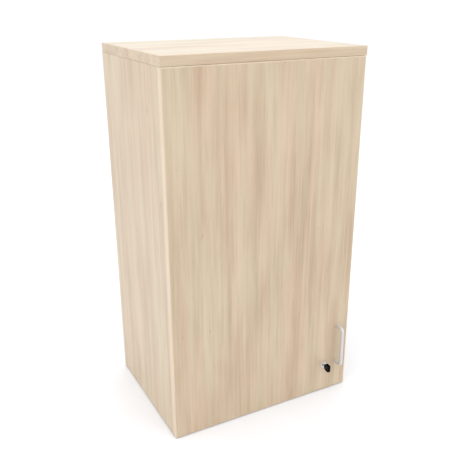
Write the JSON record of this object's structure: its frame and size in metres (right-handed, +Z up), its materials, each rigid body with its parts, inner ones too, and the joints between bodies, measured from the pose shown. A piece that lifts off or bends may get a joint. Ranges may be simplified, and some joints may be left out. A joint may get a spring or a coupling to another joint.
{
  "type": "book drop box",
  "caption": "Free-standing laminate book return cabinet with a hinged lockable door, bow handle, flapped slot, chute and lift-out bin.",
  "frame": {"origin": "on the floor, halfway across the box and halfway from the front of its handle to the face of its slot frame", "axes": "+Z up, -Y out of the door, +Y out of the book slot, +X to the right of someone facing the door"},
  "size_m": [0.6, 0.474, 1.068],
  "materials": {
    "laminate": "light acacia melamine, matt",
    "edge_band": "matt band with wood print",
    "zinc_steel": "zinc plated",
    "cast_zinc": "raw die cast",
    "hinge_steel": "nickel plated pressed steel",
    "nickel": "bright nickel",
    "handle_metal": "satin",
    "black_plastic": "moulded, fine grain",
    "glide_plastic": "moulded",
    "stainless": "brushed along its length",
    "rubber": "matt",
    "clear_buffer": "translucent",
    "painted_sheet": "light grey powder coat",
    "plywood": "birch plywood, lacquered",
    "beech": "planed"
  },
  "bodies": {
    "carcass": {"side_panel_left": "laminate", "side_panel_right": "laminate", "bottom_panel": "laminate", "back_panel": "laminate", "top_panel": "laminate", "carcass_edge_bands": "edge_band", "top_edge_bands": "edge_band", "connecting_bolts": "zinc_steel", "connecting_cams": "cast_zinc", "wood_dowels": "beech", "floor_glides": "glide_plastic", "glide_screws": "zinc_steel", "hinge_arms": "hinge_steel", "hinge_arm_pins": "hinge_steel", "hinge_arm_screws": "zinc_steel", "hinge_plates": "hinge_steel", "hinge_plate_screws": "zinc_steel", "door_bumpers": "clear_buffer", "strike_bracket": "zinc_steel", "strike_screws": "zinc_steel", "slot_frame": "stainless", "slot_frame_screws": "stainless", "flap_pin": "stainless", "flap_stop_pads": "rubber", "chute_floor": "painted_sheet", "chute_cheek_left": "painted_sheet", "chute_cheek_right": "painted_sheet", "chute_screws": "zinc_steel", "bin_guides": "beech", "bin_guide_screws": "zinc_steel"},
    "hinge_link": {"hinge_links": "hinge_steel"},
    "door": {"door_panel": "laminate", "door_edge_bands": "edge_band", "hinge_cups": "hinge_steel", "hinge_cup_screws": "zinc_steel", "hinge_cup_pins": "hinge_steel", "pull_handle": "handle_metal", "handle_screws": "zinc_steel", "lock_barrel": "nickel", "lock_nut": "nickel"},
    "lock_core": {"lock_plug": "nickel", "lock_cam": "zinc_steel", "lock_cam_screw": "zinc_steel"},
    "key": {"key_blade": "nickel", "key_pin": "nickel"},
    "key_head": {"key_head": "black_plastic"},
    "flap": {"slot_flap": "stainless"},
    "bin": {"bin_front": "plywood", "bin_back": "plywood", "bin_side_left": "plywood", "bin_side_right": "plywood", "bin_bottom": "plywood", "bin_mat": "rubber", "bin_glides": "glide_plastic", "bin_screws": "zinc_steel"}
  },
  "joints": [
    {"name": "hinge_link_turn", "type": "hinge", "parent": "carcass", "child": "hinge_link", "pos_m": [-0.2685, -0.1925, 0.521], "axis": [0, 0, 1], "range_deg": [0, 35.1]},
    {"name": "door_swing", "type": "hinge", "parent": "hinge_link", "child": "door", "pos_m": [-0.2905, -0.191, 0.521], "axis": [0, 0, -1], "range_deg": [0, 140]},
    {"name": "key_turn", "type": "hinge", "parent": "door", "child": "lock_core", "pos_m": [0.213, -0.205, 0.094], "axis": [0, -1, 0], "range_deg": [0, 90]},
    {"name": "key_slide", "type": "slide", "parent": "lock_core", "child": "key", "axis": [0, -1, 0], "range_m": [0, 0.021]},
    {"name": "key_fold", "type": "hinge", "parent": "key", "child": "key_head", "pos_m": [0.213, -0.224, 0.094], "axis": [1, 0, 0], "range_deg": [-90, 90]},
    {"name": "flap_swing", "type": "hinge", "parent": "carcass", "child": "flap", "pos_m": [0, 0.22975, 0.9165], "axis": [-1, 0, 0], "range_deg": [0, 75]},
    {"name": "bin_lift", "type": "slide", "parent": "carcass", "child": "bin", "axis": [0, 0, 1], "range_m": [0, 0.06]}
  ],
  "couplings": [
    {"joint": "hinge_link_turn", "follows": "door_swing", "ratio": 0.25}
  ]
}
